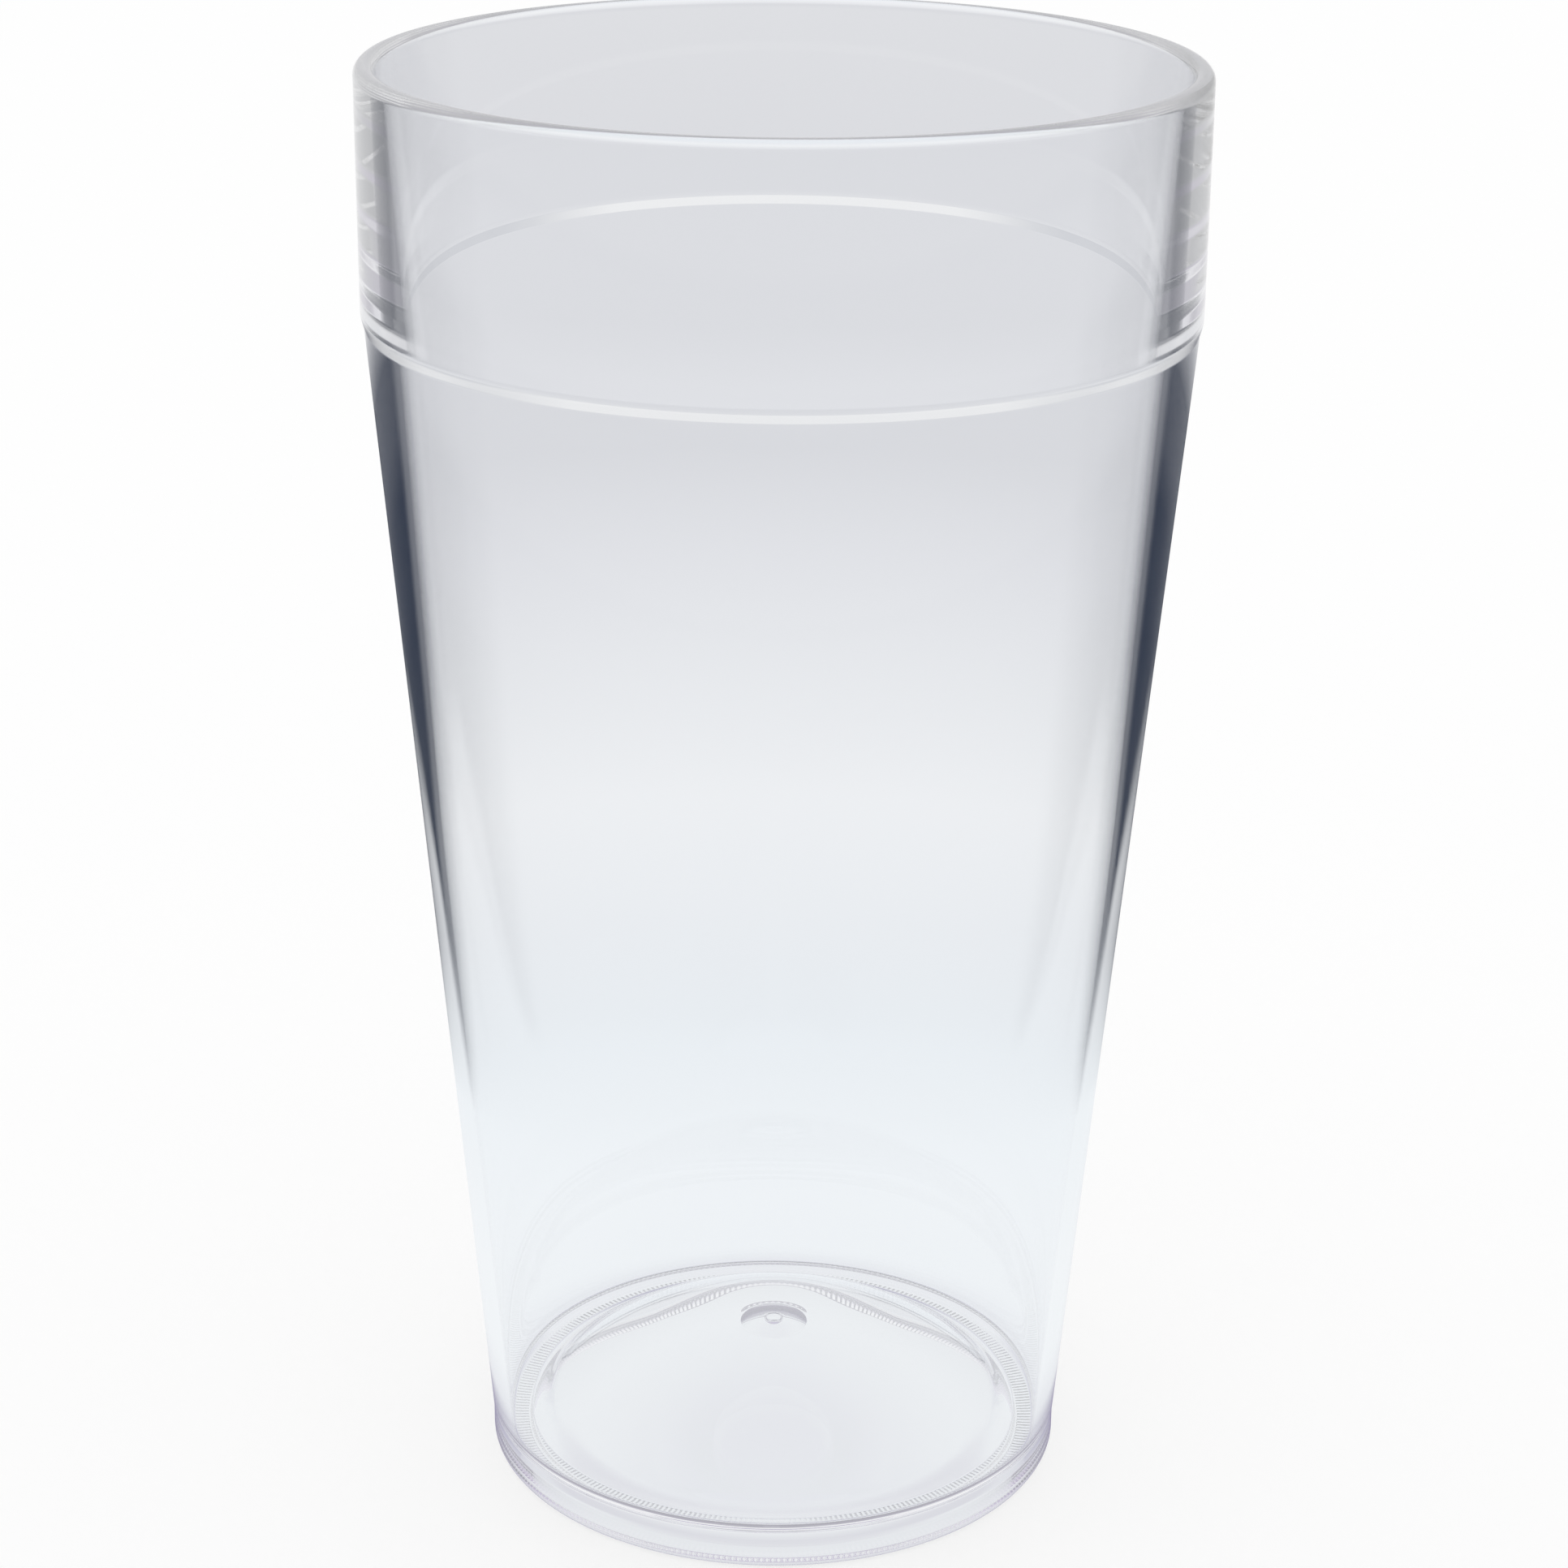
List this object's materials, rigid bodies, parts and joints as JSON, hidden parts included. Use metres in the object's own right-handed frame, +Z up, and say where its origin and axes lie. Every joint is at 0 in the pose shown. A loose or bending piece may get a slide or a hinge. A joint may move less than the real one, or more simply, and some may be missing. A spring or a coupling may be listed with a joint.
{
  "type": "plastic tumbler",
  "caption": "Clear tapered plastic drinking tumbler with a rounded lip, an upright collar over a stacking step, a domed floor and a ring foot.",
  "frame": {"origin": "centre of the foot's bearing face, on the plane of the table", "axes": "+Z up along the cup's axis, out of its mouth; the cup is round, so X and Y are any two level directions"},
  "size_m": [0.086, 0.086, 0.155],
  "materials": {
    "clear_plastic": "colourless clear styrene plastic, polished inside and out, with a fine knurl on the foot's bearing ring"
  },
  "bodies": {
    "root": {"drinking_lip": "clear_plastic", "collar": "clear_plastic", "stacking_step": "clear_plastic", "tapered_wall": "clear_plastic", "foot_ring": "clear_plastic", "domed_floor": "clear_plastic", "gate_nub": "clear_plastic"}
  },
  "joints": []
}
